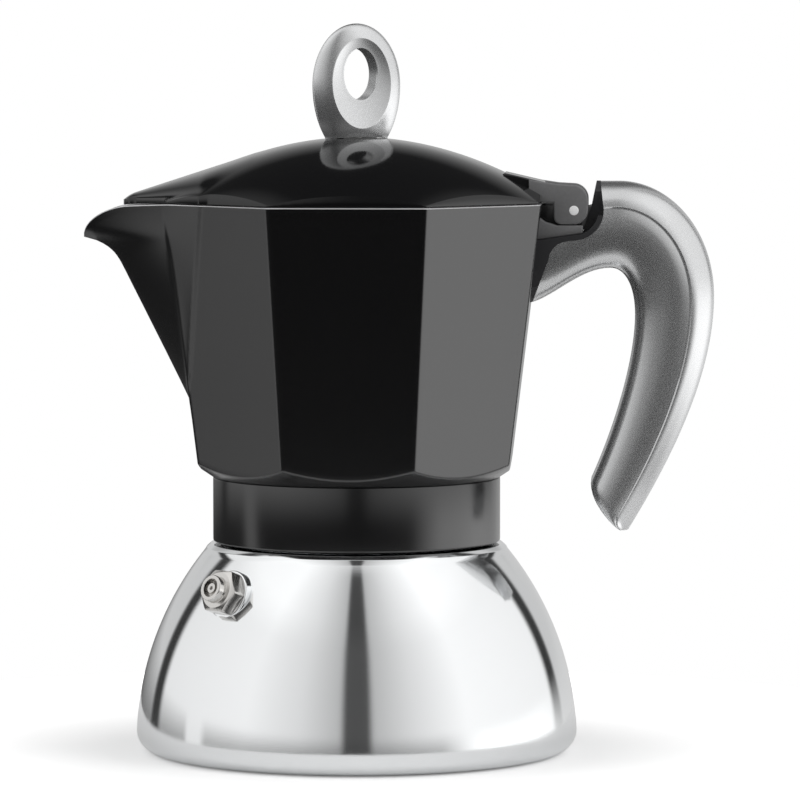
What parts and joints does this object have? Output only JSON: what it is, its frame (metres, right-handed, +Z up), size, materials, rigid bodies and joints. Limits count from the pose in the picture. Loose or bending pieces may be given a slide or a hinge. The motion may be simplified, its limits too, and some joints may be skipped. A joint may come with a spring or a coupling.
{
  "type": "moka pot",
  "caption": "Stove-top coffee maker: bell-shaped steel boiler with a safety valve, eight-sided black collector with spout, hinged domed lid, ring knob and curved handle.",
  "frame": {"origin": "centre of the boiler's flat underside", "axes": "+Z up, handle towards +X, spout towards -X, front facet towards -Y"},
  "size_m": [0.1538, 0.1078, 0.1776],
  "materials": {
    "steel_brushed": "brushed round the axis",
    "black_coating": "satin",
    "black_gloss": "glossy",
    "silver_satin": "satin metallic",
    "dark_plastic": "matte",
    "aluminium": "satin",
    "valve_steel": "turned",
    "valve_brass": "turned",
    "seal_rubber": "matte",
    "silicone": "matte"
  },
  "bodies": {
    "boiler": {"boiler": "steel_brushed", "valve_washer": "seal_rubber", "valve_body": "valve_steel", "valve_nut": "valve_brass", "valve_spring": "valve_steel", "valve_clip": "valve_steel"},
    "valve_stem": {"valve_stem": "valve_steel"},
    "funnel": {"funnel_bowl": "aluminium", "funnel_tube": "aluminium", "funnel_sieve": "aluminium"},
    "filter_plate": {"filter_plate": "aluminium"},
    "gasket": {"gasket_ring": "silicone"},
    "collector": {"collar": "black_coating", "collector": "black_coating", "coffee_column": "aluminium", "hinge_pin": "valve_steel", "handle_liner": "dark_plastic", "handle_grip": "silver_satin", "handle_screw": "valve_steel"},
    "lid": {"lid": "black_gloss", "knob": "silver_satin", "knob_washer": "seal_rubber", "knob_screw": "valve_steel"}
  },
  "joints": [
    {"name": "valve_stem_slide", "type": "slide", "parent": "boiler", "child": "valve_stem", "axis": [-0.6288, -0.6983, 0.342], "range_m": [0, 0.0012], "stiffness_N_per_m": 1500, "springref_m": -0.0005},
    {"name": "funnel_lift", "type": "slide", "parent": "boiler", "child": "funnel", "axis": [0, 0, 1], "range_m": [0, 0.06]},
    {"name": "collector_lift_off", "type": "slide", "parent": "boiler", "child": "gasket", "axis": [0, 0, 1], "range_m": [0, 0.13]},
    {"name": "thread_rise", "type": "slide", "parent": "gasket", "child": "filter_plate", "axis": [0, 0, 1], "range_m": [0, 0.0095]},
    {"name": "collector_turn", "type": "hinge", "parent": "filter_plate", "child": "collector", "pos_m": [0, 0, 0.0575], "axis": [0, 0, 1], "range_deg": [0, 1080]},
    {"name": "lid_hinge", "type": "hinge", "parent": "collector", "child": "lid", "pos_m": [0.0531, 0, 0.1325], "axis": [0, 1, 0], "range_deg": [0, 85]}
  ],
  "couplings": [
    {"joint": "funnel_lift", "follows": "collector_lift_off", "ratio": 0.46},
    {"joint": "thread_rise", "follows": "collector_turn", "m_per_rad": 0.00047746}
  ]
}
